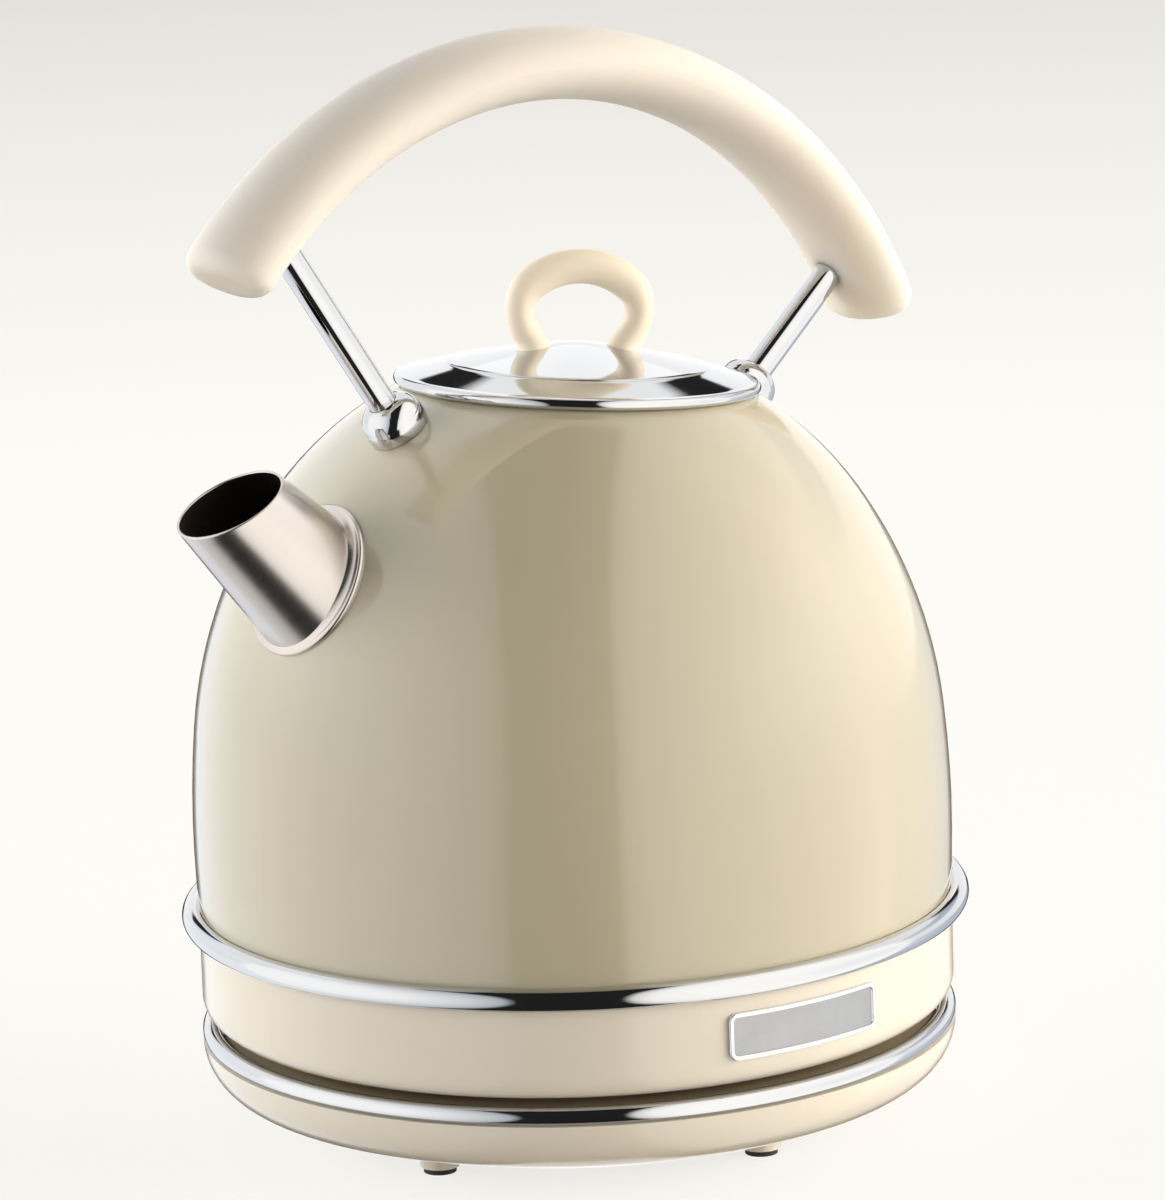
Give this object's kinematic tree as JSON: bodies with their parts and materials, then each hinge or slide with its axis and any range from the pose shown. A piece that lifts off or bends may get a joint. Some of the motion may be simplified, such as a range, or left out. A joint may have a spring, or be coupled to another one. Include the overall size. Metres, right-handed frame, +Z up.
{
  "type": "electric kettle",
  "caption": "Cordless electric kettle with a painted dome, chrome rings, arched handle on chrome rods, lift-off lid with loop knob and a short spout, standing on a swivel power base.",
  "frame": {"origin": "on the kettle's upright axis, at the table that the rubber feet stand on", "axes": "+Z up, +X towards the spout, +Y to the side that carries the badge plate"},
  "size_m": [0.2329, 0.206, 0.2843],
  "materials": {
    "ivory_plastic": "gloss moulded",
    "cream_enamel": "gloss painted steel",
    "chrome": "polished",
    "steel": "satin",
    "soft_cream": "matte soft-touch",
    "knob_cream": "satin",
    "black_plastic": "matte",
    "foot_rubber": "matte",
    "silicone": "matte",
    "contact_brass": "bright",
    "heater_aluminium": "cast",
    "zinc_steel": "zinc plated",
    "badge_silver": "satin with bright border"
  },
  "bodies": {
    "power_base": {"base_bowl": "ivory_plastic", "foot_pads": "foot_rubber", "base_trim_ring": "chrome", "base_deck": "ivory_plastic", "base_screws": "zinc_steel", "base_connector": "black_plastic", "connector_contacts": "contact_brass", "cord_gland": "black_plastic"},
    "socket": {"cordless_socket": "black_plastic", "socket_contacts": "contact_brass"},
    "switch": {"switch_lever": "ivory_plastic"},
    "lid": {"lid_cover": "chrome", "lid_plug": "steel", "lid_seal": "silicone", "lid_knob": "knob_cream", "knob_screws": "zinc_steel"},
    "filter": {"filter_frame": "knob_cream", "filter_mesh": "steel"},
    "kettle": {"skirt": "ivory_plastic", "belt_ring": "chrome", "bottom_cover": "ivory_plastic", "switch_pin": "zinc_steel", "plate_studs": "zinc_steel", "bottom_screws": "zinc_steel", "plate_seal": "silicone", "heating_plate": "steel", "element_diffuser": "heater_aluminium", "heating_element": "steel", "control_block": "black_plastic", "steam_tube": "steel", "body_shell": "cream_enamel", "spout": "steel", "neck_ring": "steel", "front_rod": "chrome", "back_rod": "chrome", "front_boss": "chrome", "back_boss": "chrome", "rod_nuts": "zinc_steel", "handle_grip": "soft_cream", "badge_plate": "badge_silver"}
  },
  "joints": [
    {"name": "kettle_lift", "type": "slide", "parent": "power_base", "child": "socket", "axis": [0, 0, 1], "range_m": [0, 0.08]},
    {"name": "kettle_swivel", "type": "hinge", "parent": "socket", "child": "kettle", "pos_m": [0, 0, 0.03], "axis": [0, 0, 1], "continuous": true},
    {"name": "lid_lift", "type": "slide", "parent": "kettle", "child": "lid", "axis": [-0.0785, 0, 0.9969], "range_m": [0, 0.03]},
    {"name": "switch_press", "type": "hinge", "parent": "kettle", "child": "switch", "pos_m": [-0.084, 0, 0.042], "axis": [0, -1, 0], "range_deg": [0, 12]},
    {"name": "filter_slide", "type": "slide", "parent": "kettle", "child": "filter", "axis": [-0.7071, 0, -0.7071], "range_m": [0, 0.018]}
  ]
}
